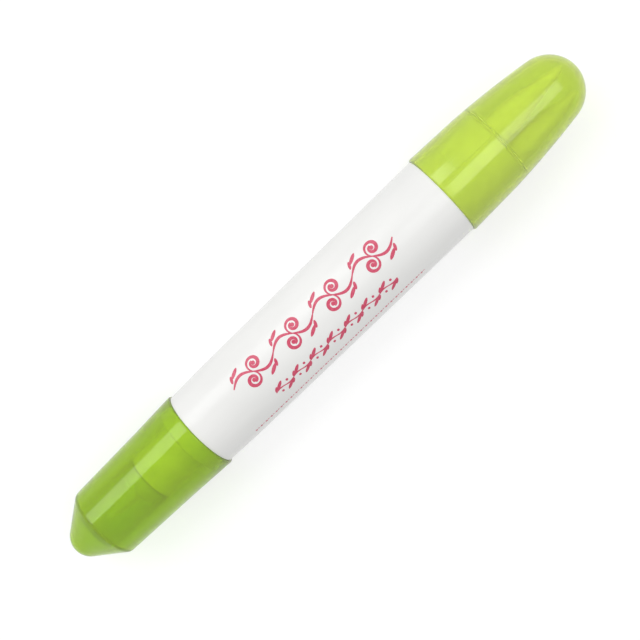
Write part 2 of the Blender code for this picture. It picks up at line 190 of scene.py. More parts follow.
class FeltSettings(bpy.types.PropertyGroup):
    """The four felt tips, and the reservoir."""

    taper_length: length("Length of the cone", 11.0)
    point_radius: length("Rounding of the point", 0.6)
    heel_radius: length("Rounding of the flat end", 0.5)
    white: colour("Colour of the fibres", "#F1F1E8")
    # Painted shade: the colour that the low places between the fibres take
    shade: colour("Between the fibres", "#D9DACB")


class NibCapSettings(bpy.types.PropertyGroup):
    """The cone-ended cap."""

    step: length("How far the mouth stands out round the barrel", 0.37)
    wall: length("Wall of the cap and of its seal", 0.9)
    lip: length("Rounding of the mouth", 0.3)
    flare: length("How much the mouth widens", 0.38)
    flare_length: length("Over what length it widens", 8.5)
    draft: length("How much the side narrows", 0.45)
    shoulder: length("Rounding where the cone starts", 1.2)
    inner_shoulder: length("Rounding where the hollow of the cone starts", 0.6)
    cone_wall: length("Thickness of the cone's wall", 0.9)
    cone: turn("Half angle of the cone", 35.3)
    tip: length("Rounding of the cone's end", 3.8)
    seal_floor: length("Thickness of the seal's floor", 0.4)
    seal_reach: length("How much of the gap to the snout it fills, as it is pushed home", 0.22)
    tint: colour("Lime of the plastic's skin", "#DAE942")
    dense: colour("Where the plastic flowed denser", "#CCE136")
    depth: colour("What a thick piece of the plastic lets through", "#D9F038")
    density: amount("How fast it deepens", 820.0)
    clear: amount("Share of light that passes the skin", 0.8)
    sleeve_tint: colour("Lime of the seal's plastic", "#E6F29A")
    sleeve_dense: colour("Where the seal's plastic flowed denser", "#DCEC88")
    sleeve_clear: amount("Share of light that passes the seal's skin", 0.9)
    sleeve_density: amount("How fast the seal's plastic deepens", 220.0)
    haze: amount("Roughness inside the plastic", 0.16)
    gloss: amount("Strength of the polished outside", 0.15)
    sheen: amount("Roughness of the polished outside", 0.08)


class SpareCapSettings(bpy.types.PropertyGroup):
    """The round-nosed cap."""

    step: length("How far the mouth stands out round the barrel", 0.33)
    wall: length("Wall of the cap", 0.9)
    lip: length("Rounding of the mouth", 0.3)
    draft: length("How much it narrows along the collar", 0.31)
    lead_in: length("Length of the wider bore at the mouth", 1.2)
    lead_depth: length("How much wider that bore is", 0.14)
    nose_step: length("How much smaller the nose is than the cap at the collar's end", 1.42)
    shelf: length("How much the cap steps in where the collar ends", 0.15)
    shelf_length: length("Length of that step", 2.4)
    ledge: length("Step in the bore just past the collar, its distance and height", 0.2)
    nose_slope: turn("Slope of the side where the nose starts", 8.6)
    tint: colour("Yellow-lime of the plastic's skin", "#E2EE80")
    dense: colour("Where the plastic flowed denser", "#DCEA74")
    depth: colour("What a thick piece of the plastic lets through", "#F0F95E")
    density: amount("How fast it deepens", 380.0)
    clear: amount("Share of light that passes the skin", 0.8)
    haze: amount("Roughness inside the plastic", 0.16)
    gloss: amount("Strength of the polished outside", 0.19)
    sheen: amount("Roughness of the polished outside", 0.12)


class StageSettings(bpy.types.PropertyGroup):
    """Camera, lamps and floor."""

    camera_height: length("Above the pen's axis", 190.0)
    camera_place: length("Along the pen", 11.26)
    camera_offset: length("Across the pen", -0.83)
    camera_tilt: turn("Lean towards the nib cap", 3.69)
    camera_roll: turn("The pen's angle in the picture", 44.1)
    focal: FloatProperty(description="Focal length in millimetres", default=61.95, min=1)
    sensor: FloatProperty(description="Width of the picture plane in mm", default=36.0, min=1)
    left_lamp: amount("Brightness of the soft lamp over the nib cap", 3.0)
    right_lamp: amount("Brightness of the soft lamp over the spare tips", 2.3)
    sky: amount("Strength of the light from all round", 0.55)
    floor_reach: length("From the pen to each edge of the floor", 2000.0)
    paper: colour("Colour of the floor", "#E6E6E6")
    paper_fibre: colour("Its slightly greyer fibres", "#E3E3E3")
    paper_seen: colour("The part of the floor that shows a shadow to the camera", "#B4B4B4")
    paper_glow: amount("The white of its own that the camera sees on the floor", 0.62)


# Shapes


def arc(centre, radius, first, last, steps=CURVE_STEPS):
    """Points on a circle about a place on the axis, with angles counted from +X."""
    angles = [first + (last - first) * step / steps for step in range(steps + 1)]
    return [(centre + radius * math.cos(a), radius * math.sin(a)) for a in angles]


def rounded(before, corner, after, radius):
    """The arc that rounds one corner of an outline."""
    back, ahead = (before - corner).normalized(), (after - corner).normalized()
    half = back.angle(ahead) / 2
    centre = corner + (back + ahead).normalized() * (radius / math.sin(half))
    start = corner + back * (radius / math.tan(half)) - centre
    end = corner + ahead * (radius / math.tan(half)) - centre
    sweep = math.pi - 2 * half
    turns = [sweep * step / CORNER_STEPS for step in range(CORNER_STEPS + 1)]
    return [centre + (start * math.sin(sweep - t) + end * math.sin(t)) / math.sin(sweep) for t in turns]


def outline(*corners):
    """Points (x, radius) through these corners. A third value rounds its corner."""
    flat = [Vector(corner[:2]) for corner in corners]
    points = []
    for index, corner in enumerate(corners):
        if len(corner) == 3:
            points += rounded(flat[index - 1], flat[index], flat[(index + 1) % len(flat)], corner[2])
        else:
            points.append(flat[index])
    return points


def between(x, near, near_radius, far, far_radius):
    """Radius at x on a straight taper."""
    return near_radius + (far_radius - near_radius) * (x - near) / (far - near)


def node(tree, kind, *values, **named):
    """Adds a node. Values go to its first inputs, capitalised names to inputs and other names to settings.

    A node among the values feeds its input from its first output. The name _6 stands for the seventh input.
    """
    made = tree.nodes.new(kind)
    inputs = dict(enumerate(values))
    for name, value in named.items():
        if name.islower():
            setattr(made, name, value)
        else:
            inputs[int(name[1:]) if name[0] == "_" else name.replace("_", " ")] = value
    for key, value in inputs.items():
        if isinstance(value, bpy.types.Node):
            value = value.outputs[0]
        if isinstance(value, bpy.types.NodeSocket):
            tree.links.new(value, made.inputs[key])
        else:
            made.inputs[key].default_value = value
    return made


def new_tree(name, sockets):
    """An empty Geometry Nodes tree with these inputs: the tree, and what its input node hands in."""
    tree = bpy.data.node_groups.new(name, "GeometryNodeTree")
    tree.interface.new_socket("Geometry", in_out="OUTPUT", socket_type="NodeSocketGeometry")
    tree.interface.new_socket("Geometry", in_out="INPUT", socket_type="NodeSocketGeometry")
    for label, kind in sockets:
        tree.interface.new_socket(label, in_out="INPUT", socket_type="NodeSocket" + kind)
    return tree, tree.nodes.new("NodeGroupInput").outputs


def grow(obj, tree, **values):
    """Runs a tree on an object with these input values, and keeps the result as its plain mesh."""
    modifier = obj.modifiers.new(tree.name, "NODES")
    modifier.node_group = tree
    for item in tree.interface.items_tree:
        if item.in_out == "INPUT" and item.name.replace(" ", "_") in values:
            modifier[item.identifier] = values[item.name.replace(" ", "_")]
    graph = bpy.context.evaluated_depsgraph_get()
    made = bpy.data.meshes.new_from_object(obj.evaluated_get(graph), depsgraph=graph)
    obj.modifiers.remove(modifier)
    flat, obj.data = obj.data, made
    bpy.data.meshes.remove(flat)
    made.name = obj.name
    return obj


def close(obj):
    """Merges seams and poles, turns the faces outwards and shades the piece smooth between its edges."""
    mesh = bmesh.new()
    mesh.from_mesh(obj.data)
    bmesh.ops.remove_doubles(mesh, verts=mesh.verts, dist=MERGE)
    bmesh.ops.recalc_face_normals(mesh, faces=mesh.faces)
    mesh.to_mesh(obj.data)
    mesh.free()
    obj.data.shade_smooth()
    obj.data.set_sharp_from_angle(angle=SHARP_ANGLE)
    return obj


def shape(name, verts, edges, faces):
    """A new mesh object at the origin."""
    data = bpy.data.meshes.new(name)
    data.from_pydata(verts, edges, faces)
    obj = bpy.data.objects.new(name, data)
    bpy.context.scene.collection.objects.link(obj)
    return obj


def round_axis(tree, given, angle, radius):
    """Y and Z of what stands this far from the tree's axis, at this angle from the top towards +Y."""
    places = []
    for wave, centre in (("SINE", "Axis Y"), ("COSINE", "Axis Z")):
        way = node(tree, "ShaderNodeMath", angle, operation=wave)
        axis = given[centre]
        places.append(node(tree, "ShaderNodeMath", way, radius, axis, operation="MULTIPLY_ADD"))
    return places


def lathe_tree():
    """Turns a line of (x, radius) points round an axis along X, as a grid with a row for each point."""
    if "Lathe" in bpy.data.node_groups:
        return bpy.data.node_groups["Lathe"]
    tree, given = new_tree(
        "Lathe", [("Sides", "Int"), ("Axis Y", "Float"), ("Axis Z", "Float"), ("Plastic", "Material")]
    )
    line, sides = given["Geometry"], given["Sides"]
    rows = node(tree, "GeometryNodeAttributeDomainSize", Geometry=line).outputs["Point Count"]
    columns = node(tree, "ShaderNodeMath", sides, 1.0, operation="ADD")
    grid = node(tree, "GeometryNodeMeshGrid", Vertices_X=rows, Vertices_Y=columns)
    index = node(tree, "GeometryNodeInputIndex")
    row = node(tree, "ShaderNodeMath", index, columns, operation="DIVIDE")
    row = node(tree, "ShaderNodeMath", row, operation="FLOOR")
    column = node(tree, "ShaderNodeMath", index, columns, operation="MODULO")
    share = node(tree, "ShaderNodeMath", column, sides, operation="DIVIDE")
    angle = node(tree, "ShaderNodeMath", share, 2 * math.pi, operation="MULTIPLY")
    sample = node(
        tree,
        "GeometryNodeSampleIndex",
        data_type="FLOAT_VECTOR",
        domain="POINT",
        Geometry=line,
        Value=node(tree, "GeometryNodeInputPosition"),
        Index=row,
    )
    point = node(tree, "ShaderNodeSeparateXYZ", sample)
    places = round_axis(tree, given, angle, point.outputs["Y"])
    place = node(tree, "ShaderNodeCombineXYZ", point.outputs["X"], *places)
    moved = node(tree, "GeometryNodeSetPosition", Geometry=grid, Position=place)
    merged = node(tree, "GeometryNodeMergeByDistance", Geometry=moved, Distance=MERGE)
    real = node(tree, "GeometryNodeRealizeInstances", Geometry=merged)
    painted = node(tree, "GeometryNodeSetMaterial", Geometry=real, Material=given["Plastic"])
    node(tree, "NodeGroupOutput", Geometry=painted)
    return tree


def turned(name, points, material, is_closed=True, sides=SIDES, axis=AXIS):
    """A closed skin, turned round the pen's axis or a tip's. An open line starts and ends on the axis."""
    verts = [(x, max(radius, 0), 0) for x, radius in points]
    if is_closed:
        verts.append(verts[0])
    line = shape(name, verts, [(i, i + 1) for i in range(len(verts) - 1)], [])
    grow(line, lathe_tree(), Sides=sides, Axis_Y=axis[0], Axis_Z=axis[1], Plastic=material)
    return close(line)


def line_inside(obj, material):
    """Gives the faces of a cap that look at its hollow another finish."""
    heart = (Vector(obj.bound_box[0]) + Vector(obj.bound_box[6])) / 2
    obj.data.materials.append(material)
    for face in obj.data.polygons:
        if face.normal.dot(face.center - heart) < 0:
            face.material_index = 1
    return obj


def wrap_tree():
    """Repeats a flat motif along the pen and round it, and lays the copies on a turned side.

    The motif lies in X and Y, with its thickness in Z. Every other copy may be turned by half a turn.
    """
    if "Wrap" in bpy.data.node_groups:
        return bpy.data.node_groups["Wrap"]
    floats = ["Pitch", "Start", "Place", "Turn", "Half Turn", "Side Start", "Side Length", "Start Radius"]
    floats += ["Swell", "Swell Length", "End Radius", "Axis Y", "Axis Z"]
    sockets = [("Count", "Int"), *((label, "Float") for label in floats), ("Finish", "Material")]
    tree, given = new_tree("Wrap", sockets)
    start_radius, end_radius = given["Start Radius"], given["End Radius"]
    swell, swell_length = given["Swell"], given["Swell Length"]

    # The copies, still flat, with their distance round the pen in Y
    start = node(tree, "ShaderNodeMath", given["Place"], end_radius, operation="MULTIPLY")
    step = node(tree, "ShaderNodeMath", given["Turn"], end_radius, operation="MULTIPLY")
    line = node(
        tree,
        "GeometryNodeMeshLine",
        Count=given["Count"],
        Start_Location=node(tree, "ShaderNodeCombineXYZ", given["Start"], start),
        Offset=node(tree, "ShaderNodeCombineXYZ", given["Pitch"], step),
    )
    odd = node(tree, "ShaderNodeMath", node(tree, "GeometryNodeInputIndex"), 2.0, operation="MODULO")
    flip = node(tree, "ShaderNodeMath", odd, given["Half Turn"], operation="MULTIPLY")
    copies = node(
        tree,
        "GeometryNodeInstanceOnPoints",
        Points=line,
        Instance=given["Geometry"],
        Rotation=node(tree, "FunctionNodeEulerToRotation", node(tree, "ShaderNodeCombineXYZ", Z=flip)),
    )
    real = node(tree, "GeometryNodeRealizeInstances", Geometry=copies)

    # The side's radius: a swell that eases off over its length, then a straight run to the end radius
    spot = node(tree, "ShaderNodeSeparateXYZ", node(tree, "GeometryNodeInputPosition"))
    run = node(tree, "ShaderNodeMath", spot.outputs["X"], given["Side Start"], operation="SUBTRACT")
    share = node(tree, "ShaderNodeClamp", node(tree, "ShaderNodeMath", run, swell_length, operation="DIVIDE"))
    ease = node(tree, "ShaderNodeMath", 2.0, share, operation="SUBTRACT")
    ease = node(tree, "ShaderNodeMath", share, ease, operation="MULTIPLY")
    swollen = node(tree, "ShaderNodeMath", swell, ease, start_radius, operation="MULTIPLY_ADD")
    gain = node(tree, "ShaderNodeMath", start_radius, swell, operation="ADD")
    gain = node(tree, "ShaderNodeMath", end_radius, gain, operation="SUBTRACT")
    rest = node(tree, "ShaderNodeMapRange", run, swell_length, given["Side Length"], 0.0, gain)
    side = node(tree, "ShaderNodeMath", swollen, rest, operation="ADD")

    out = node(tree, "ShaderNodeMath", side, spot.outputs["Z"], operation="ADD")
    angle = node(tree, "ShaderNodeMath", spot.outputs["Y"], end_radius, operation="DIVIDE")
    place = node(tree, "ShaderNodeCombineXYZ", spot.outputs["X"], *round_axis(tree, given, angle, out))
    laid = node(tree, "GeometryNodeSetPosition", Geometry=real, Position=place)
    painted = node(tree, "GeometryNodeSetMaterial", Geometry=laid, Material=given["Finish"])
    node(tree, "NodeGroupOutput", Geometry=painted)
    return tree


def wrap(obj, material, start, end, swell=0.0, swell_length=MM, **layout):
    """Lays copies of a flat motif on a turned side between two corners, each given as (x, radius)."""
    return grow(
        obj,
        wrap_tree(),
        Side_Start=start[0],
        Side_Length=end[0] - start[0],
        Start_Radius=start[1],
        End_Radius=end[1],
        Swell=swell,
        Swell_Length=swell_length,
        Axis_Y=AXIS[0],
        Axis_Z=AXIS[1],
        Finish=material,
        **layout,
    )


def place_piece(obj, body, slot, *nodes):
    """The piece moves with its body and stands for these packed pieces."""
    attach(obj, body)
    if nodes:
        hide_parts(*nodes)
    return obj


# Materials

NOISE_SPAN = (0.35, 0.65)  # between these lies most of a noise
POLYPROPYLENE_IOR = 1.49
POLISH_IOR = 2.6  # of the mould-polished skin, which mirrors the lamps more than the plastic under it


def new_material(name):
    """A material with an empty tree: the material, its tree and the object's own coordinates."""
    material = bpy.data.materials.new(name)
    material.use_nodes = True
    tree = material.node_tree
    tree.nodes.clear()
    return material, tree, node(tree, "ShaderNodeTexCoord").outputs["Object"]


def surfaced(material, **looks):
    """Ends a material in one principled shader with these looks, and hands it back."""
    shader = node(material.node_tree, "ShaderNodeBsdfPrincipled", **looks)
    node(material.node_tree, "ShaderNodeOutputMaterial", Surface=shader)
    return material


def grain(tree, own, size_mm, detail=3.0, along=1.0):
    """Noise with blotches about this many millimetres across, longer along the pen where along is under 1."""
    laid = node(tree, "ShaderNodeMapping", Vector=own, Scale=(along, 1, 1))
    return node(
        tree, "ShaderNodeTexNoise", Vector=laid, Scale=1 / (size_mm * MM), Detail=detail, Roughness=0.55
    )


def two_tone(tree, noise, first, last, most=1.0):
    """A colour that wanders with a noise from the first to most of the last."""
    share = node(tree, "ShaderNodeMapRange", noise, *NOISE_SPAN, 0.0, most)
    return node(tree, "ShaderNodeMix", data_type="RGBA", _0=share, _6=first[:], _7=last[:]).outputs[2]


def moulded_white(settings):
    """Injection-moulded polypropylene, white and glossy, with faint orange peel and flow marks."""
    material, tree, own = new_material("moulded_white_polypropylene")
    flow = grain(tree, own, 9.0, along=0.35)
    peel = grain(tree, own, 1.1, detail=2.0)
    return surfaced(
        material,
        Base_Color=two_tone(tree, flow, settings.white, settings.shade),
        Roughness=node(tree, "ShaderNodeMapRange", grain(tree, own, 0.5), *NOISE_SPAN, 0.2, 0.26),
        IOR=POLYPROPYLENE_IOR,
        Specular_IOR_Level=0.3,
        Normal=node(tree, "ShaderNodeBump", Height=peel, Distance=0.01 * MM, Strength=0.03),
    )


def printed_ink(settings):
    """Pad-printed crimson ink: satin, a little thinner in places."""
    material, tree, own = new_material("pad_printed_crimson_ink")
    patchy = grain(tree, own, 0.35)
    return surfaced(
        material,
        Base_Color=two_tone(tree, patchy, settings.ink, settings.ink_thin),
        Roughness=node(tree, "ShaderNodeMapRange", grain(tree, own, 0.2), *NOISE_SPAN, 0.3, 0.45),
        Normal=node(tree, "ShaderNodeBump", Height=patchy, Distance=0.003 * MM, Strength=0.4),
    )


def natural_plastic(settings):
    """Unpigmented polypropylene: milky, satin, with denser places where it is thick."""
    material, tree, own = new_material("moulded_natural_polypropylene")
    cloud = grain(tree, own, 3.5)
    peel = grain(tree, own, 0.9, detail=2.0)
    return surfaced(
        material,
        Base_Color=two_tone(tree, cloud, settings.white, settings.shade),
        Roughness=node(tree, "ShaderNodeMapRange", grain(tree, own, 0.6), *NOISE_SPAN, 0.3, 0.42),
        IOR=POLYPROPYLENE_IOR,
        Normal=node(tree, "ShaderNodeBump", Height=peel, Distance=0.01 * MM, Strength=0.3),
    )


def bonded_felt(settings):
    """Bonded polyester fibre: matt, with fine fibres along the tip, drawn about 0.12 mm thick to show, with
    painted shade in the low places between them.
    """
    material, tree, own = new_material("bonded_polyester_felt")
    fibres = grain(tree, own, 0.12, detail=4.0, along=0.12)
    return surfaced(
        material,
        # Darker where the fibres' relief is low: painted shade between the fibres
        Base_Color=two_tone(tree, fibres, settings.shade, settings.white),
        Roughness=node(tree, "ShaderNodeMapRange", grain(tree, own, 0.4), *NOISE_SPAN, 0.8, 0.95),
        Normal=node(tree, "ShaderNodeBump", Height=fibres, Distance=0.05 * MM, Strength=0.8),
    )


def tinted_plastic(name, sizes, tint, dense, clear, density, gloss=0.0):
    """Tinted polypropylene: slightly hazy, a little of its colour milky, the rest by its depth.

    Walls seen edge-on are therefore deeper, and what lies inside shows through. Lamps reach through it as
    tinted light. The outside is polished in the mould and glossy, and all its gloss is in that polish. What a
    core pin formed has no polish: it is satin and shows no lamp.
    """
    material, tree, own = new_material(name)
    flow = grain(tree, own, 6.0, along=0.4)
    peel = grain(tree, own, 1.6, detail=2.0)
    shader = node(
        tree,
        "ShaderNodeBsdfPrincipled",
        Base_Color=two_tone(tree, flow, tint, dense, most=0.6),
        Roughness=sizes.haze,
        IOR=POLYPROPYLENE_IOR,
        Specular_Tint=(0, 0, 0, 1) if gloss else (1, 1, 1, 1),
        Transmission_Weight=clear,
        Coat_Weight=gloss,
        Coat_Roughness=sizes.sheen,
        Coat_IOR=POLISH_IOR,
        Normal=node(tree, "ShaderNodeBump", Height=peel, Distance=0.01 * MM, Strength=0.05),
    )
    # A ray meets two skins in a wall, so each one tints its light by the root of the colour
    skin = node(tree, "ShaderNodeBsdfTransparent", Color=[c**0.5 for c in tint[:3]] + [1.0])
    in_shadow = node(tree, "ShaderNodeLightPath").outputs["Is Shadow Ray"]
    surface = node(tree, "ShaderNodeMixShader", in_shadow, shader, skin)
    depth = node(tree, "ShaderNodeVolumeAbsorption", Color=sizes.depth[:], Density=density)
    node(tree, "ShaderNodeOutputMaterial", Surface=surface, Volume=depth)
    return material


def matted_wadding(settings):
    """Loose polyester wadding: matt and cloudy, with fibres along the rod and painted shade between them."""
    material, tree, own = new_material("polyester_wadding")
    fibres = grain(tree, own, 0.3, detail=5.0, along=0.2)
    return surfaced(
        material,
        # Darker where the fibres' relief is low: painted shade between the fibres
        Base_Color=two_tone(tree, fibres, settings.shade, settings.white),
        Roughness=1.0,
        Normal=node(tree, "ShaderNodeBump", Height=fibres, Distance=0.1 * MM, Strength=1.0),
    )


def clear_film():
    """Heat-sealed polypropylene film: thin, clear and glossy, faintly crinkled."""
    material, tree, own = new_material("clear_polypropylene_film")
    crinkle = grain(tree, own, 2.0, along=0.5)
    return surfaced(
        material,
        Base_Color=srgb("#F4F8FA"),
        Roughness=node(tree, "ShaderNodeMapRange", crinkle, *NOISE_SPAN, 0.08, 0.18),
        IOR=POLYPROPYLENE_IOR,
        Transmission_Weight=0.9,
        Normal=node(tree, "ShaderNodeBump", Height=crinkle, Distance=0.05 * MM, Strength=0.5),
    )


def background_rays(tree):
    """1 for the rays that show the background: from the camera, mirrored, and through clear plastic."""
    path = node(tree, "ShaderNodeLightPath").outputs
    straight = node(
        tree, "ShaderNodeMath", path["Is Camera Ray"], path["Is Transmission Ray"], operation="MAXIMUM"
    )
    return node(tree, "ShaderNodeMath", straight, path["Is Glossy Ray"], operation="MAXIMUM")


def studio_paper(settings):
    """Matt white paper. The camera sees half paper and half its own white, so the ground keeps a shadow."""
    material, tree, own = new_material("pale_studio_paper")
    paper = node(
        tree,
        "ShaderNodeBsdfDiffuse",
        Color=two_tone(tree, grain(tree, own, 1.5), settings.paper, settings.paper_fibre),
    )
    dim = node(tree, "ShaderNodeBsdfDiffuse", Color=settings.paper_seen[:])
    glow = node(tree, "ShaderNodeEmission", Color=(1, 1, 1, 1), Strength=settings.paper_glow)
    bright = node(tree, "ShaderNodeAddShader", dim, glow)
    mixed = node(tree, "ShaderNodeMixShader", background_rays(tree), paper, bright)
    node(tree, "ShaderNodeOutputMaterial", Surface=mixed)
    return material


FINISHES = {}


def finish(key, make, *args):
    """Makes each material once."""
    if key not in FINISHES:
        FINISHES[key] = make(*args)
    return FINISHES[key]


# Pieces


def barrel_front_radius(scene):
    """The barrel's radius at its front end."""
    return widest("barrel") - scene.pen_barrel.narrowing


def barrel_bore(scene):
    """The radius of the barrel's bore, the same all along."""
    return barrel_front_radius(scene) - scene.pen_barrel.wall


class PEN_OT_barrel(bpy.types.Operator):
    """Makes the white barrel, a tube that swells a little behind its front end"""

    bl_idname = "corrector_pen.barrel"
    bl_label = "Barrel"

    def execute(self, context):
        sizes = context.scene.pen_barrel
        start, end = low("barrel"), high("barrel")
        front, bore = barrel_front_radius(context.scene), barrel_bore(context.scene)
        shares = [step / CURVE_STEPS for step in range(1, CURVE_STEPS + 1)]
        curve = [(start + sizes.swell_length * s, front + sizes.swell * s * (2 - s)) for s in shares]
        points = outline(
            (start - sizes.reach, bore),
            (start - sizes.reach, front, sizes.edge),
            *curve,
            (end + sizes.reach, widest("barrel"), sizes.edge),
            (end + sizes.reach, bore),
        )
        made = turned("barrel_tube", points, finish("white", moulded_white, sizes))
        place_piece(made, "barrel", "barrel_plastic", "barrel")
        return {"FINISHED"}


INK_BASE = 0.001 * MM  # how far the ink's underside stands off the barrel
INK_LEVEL = 0.001 * MM  # each stroke is this much lower than the one before, so none share a face
BEAD_END_SHARE = 0.02  # of its half width, which a bead keeps at its ends so that no face is empty


def stroke(centre, widths):
    """The two sides of a pen stroke along a centre line, with a width at each point."""
    left, right = [], []
    for i, spot in enumerate(centre):
        way = (centre[min(i + 1, len(centre) - 1)] - centre[max(i - 1, 0)]).normalized()
        across = Vector((-way.y, way.x)) * widths[i] / 2
        left.append(spot + across)
        right.append(spot - across)
    return left, right


def slab(mesh, left, right, base, top):
    """Adds a thin closed slab between the two sides of a stroke to a bmesh."""
    rows = [[mesh.verts.new((*p, z)) for z in (base, top) for p in pair] for pair in zip(left, right)]
    for a, b in zip(rows, rows[1:]):
        for i, j in ((0, 1), (1, 3), (3, 2), (2, 0)):
            mesh.faces.new((a[i], a[j], b[j], b[i]))
    mesh.faces.new((rows[0][0], rows[0][2], rows[0][3], rows[0][1]))
    mesh.faces.new((rows[-1][1], rows[-1][3], rows[-1][2], rows[-1][0]))


def swelling(count, ends, centre):
    """Stroke widths that swell from the ends to the middle."""
    return [ends + (centre - ends) * math.sin(math.pi * i / (count - 1)) for i in range(count)]


def bead(centre, across, along, steps=16):
    """A stroke in the shape of a dot or a leaf: straight centre line, elliptic width."""
    line = [centre + along * math.cos(math.pi * (1 - i / steps)) for i in range(steps + 1)]
    least = across * BEAD_END_SHARE
    widths = [max(2 * across * math.sin(math.pi * i / steps), least) for i in range(steps + 1)]
    return line, widths


def arched_stem(pitch, rise, steps):
    """Half a wave across one bay. With every other bay turned over, the bays make one running stem."""
    shares = [i / steps - 0.5 for i in range(steps + 1)]
    return [Vector((pitch * s, rise * math.cos(math.pi * s))) for s in shares]


# The numbers of the motifs are shares of a bay's pitch and of the band's height


def scroll_motif(pitch, height):
    """One bay of a running vine: an arched stem, a curl from it that winds up on a berry, and two leaves."""
    rise = height * 0.21
    stem = arched_stem(pitch, rise, 24)
    fall = math.atan(rise * math.pi / pitch)
    reach, end_reach, turns, steps = height * 0.27, height * 0.085, math.radians(500), 44
    hub = stem[-1] - reach * Vector((math.sin(fall), math.cos(fall)))
    curl = []
    for i in range(steps + 1):
        share = i / steps
        angle = math.pi / 2 - fall - turns * share
        winding = reach + (end_reach - reach) * share**0.8
        curl.append(hub + winding * Vector((math.cos(angle), math.sin(angle))))
    return [
        (stem, swelling(len(stem), 0.04 * height, 0.1 * height)),
        (curl, swelling(len(curl), 0.035 * height, 0.115 * height)),
        bead(hub, height * 0.07, Vector((height * 0.07, 0))),
        bead(Vector((-pitch * 0.1, rise * 1.85)), height * 0.06, Vector((0.17, 0.1)) * height),
        bead(Vector((-pitch * 0.33, rise * 1.35)), height * 0.05, Vector((0.05, 0.12)) * height),
    ]


def garland_motif(pitch, height):
    """Two leaves on a gently waving stem, with a berry on the other side."""
    stem = arched_stem(pitch, height * 0.07, 10)
    return [
        (stem, swelling(len(stem), height * 0.06, height * 0.09)),
        bead(Vector((pitch * 0.12, height * 0.25)), height * 0.1, Vector((0.27, 0.18)) * height),
        bead(Vector((-pitch * 0.3, height * 0.19)), height * 0.07, Vector((0.12, 0.13)) * height),
        bead(Vector((pitch * 0.05, -height * 0.2)), height * 0.08, Vector((height * 0.08, 0))),
    ]


def rule_motif(pitch, height):
    """A lozenge and a fine dash."""
    return [
        bead(Vector((-pitch * 0.2, 0)), height * 0.28, Vector((height * 0.3, 0)), 2),
        bead(Vector((pitch * 0.25, height * 0.1)), height * 0.1, Vector((pitch * 0.16, 0)), 6),
    ]


# Each band's name, its motif and how far every other copy of it is turned over
BANDS = (("scroll", scroll_motif, math.pi), ("garland", garland_motif, math.pi), ("rule", rule_motif, 0.0))


class PEN_OT_print(bpy.types.Operator):
    """Prints three bands of plain traditional ornament along the barrel"""

    bl_idname = "corrector_pen.print"
    bl_label = "Printed ornament"

    def execute(self, context):
        ink, sizes = context.scene.pen_print, context.scene.pen_barrel
        for name, motif, half_turn in BANDS:
            start, reach, height, copies, place = (
                getattr(ink, f"{name}_{part}") for part in ("start", "length", "height", "count", "angle")
            )
            pitch = reach / copies
            mesh = bmesh.new()
            for level, (line, widths) in enumerate(motif(pitch, height)):
                slab(mesh, *stroke(line, widths), INK_BASE, ink.thickness - level * INK_LEVEL)
            bmesh.ops.recalc_face_normals(mesh, faces=mesh.faces)
            made = shape(f"barrel_ornament_{name}", [], [], [])
            mesh.to_mesh(made.data)
            mesh.free()
            wrap(
                made,
                finish("ink", printed_ink, ink),
                (low("barrel"), barrel_front_radius(context.scene)),
                (high("barrel"), widest("barrel")),
                sizes.swell,
                sizes.swell_length,
                Count=copies,
                Pitch=pitch,
                Start=start + pitch / 2,
                Place=place,
                Half_Turn=half_turn,
            )
            made.data.shade_smooth()
            made.data.set_sharp_from_angle(angle=SHARP_ANGLE)
            place_piece(made, "barrel", "barrel_plastic")
        return {"FINISHED"}


class PEN_OT_nib_holder(bpy.types.Operator):
    """Makes the holder in front of the barrel: flange, snout and nozzle, with the reservoir's cup behind"""

    bl_idname = "corrector_pen.nib_holder"
    bl_label = "Nib holder"

    def execute(self, context):
        sizes = context.scene.pen_holders
        front, back = low("nib_holder"), high("nib_holder")
        bore = widest("working_nib") + sizes.nib_fit
        nozzle = widest("working_nib") + sizes.fit + sizes.nozzle_wall
        snout = nozzle + sizes.snout_step
        spigot = barrel_bore(context.scene) - sizes.fit
        cup = spigot - sizes.spigot_wall
        flange_back = back - sizes.spigot_length - sizes.fit
        flange_front = flange_back - sizes.flange_length
        snout_front = front + sizes.nozzle_length
        points = outline(
            (front, bore, sizes.edge / 2),
            (front, nozzle, sizes.edge),
            (snout_front, nozzle),
            (snout_front, snout, sizes.edge),
            (flange_front, snout),
            (flange_front, widest("nib_holder"), sizes.edge),
            (flange_back, widest("nib_holder")),
            (flange_back, spigot),
            (back, spigot),
            (back, cup),
            (back - sizes.cup_depth, cup),
            (back - sizes.cup_depth, bore),
        )
        made = turned("nib_holder_moulding", points, finish("natural", natural_plastic, sizes))
        place_piece(made, "barrel", "holder_plastic", "nib_holder")
        return {"FINISHED"}


def felt_tip(name, source, sizes, towards):
    """One felt tip in place of a packed one, with its point towards -X or +X."""
    heel, toe = (high(source), low(source)) if towards < 0 else (low(source), high(source))
    radius, point = widest(source), sizes.point_radius
    slope = math.asin((radius - point) / sizes.taper_length)
    side = outline((heel, 0), (heel, radius, sizes.heel_radius), (toe - towards * sizes.taper_length, radius))
    for step in range(POINT_STEPS + 1):
        angle = slope + (math.pi / 2 - slope) * step / POINT_STEPS
        side.append((toe - towards * point * (1 - math.sin(angle)), point * math.cos(angle)))
    material = finish("felt", bonded_felt, sizes)
    return turned(name, side, material, is_closed=False, sides=TIP_SIDES, axis=middle(source))


class PEN_OT_tips(bpy.types.Operator):
    """Makes the working nib and the three spare tips, all of the same felt"""

    bl_idname = "corrector_pen.tips"
    bl_label = "Felt tips"

    def execute(self, context):
        sizes = context.scene.pen_felt
        nib = felt_tip("working_nib_felt", "working_nib", sizes, -1)
        place_piece(nib, "barrel", "felt", "working_nib")
        for source in SPARE_TIPS:
            place_piece(felt_tip(f"{source}_felt", source, sizes, 1), source, "felt", source)
        return {"FINISHED"}


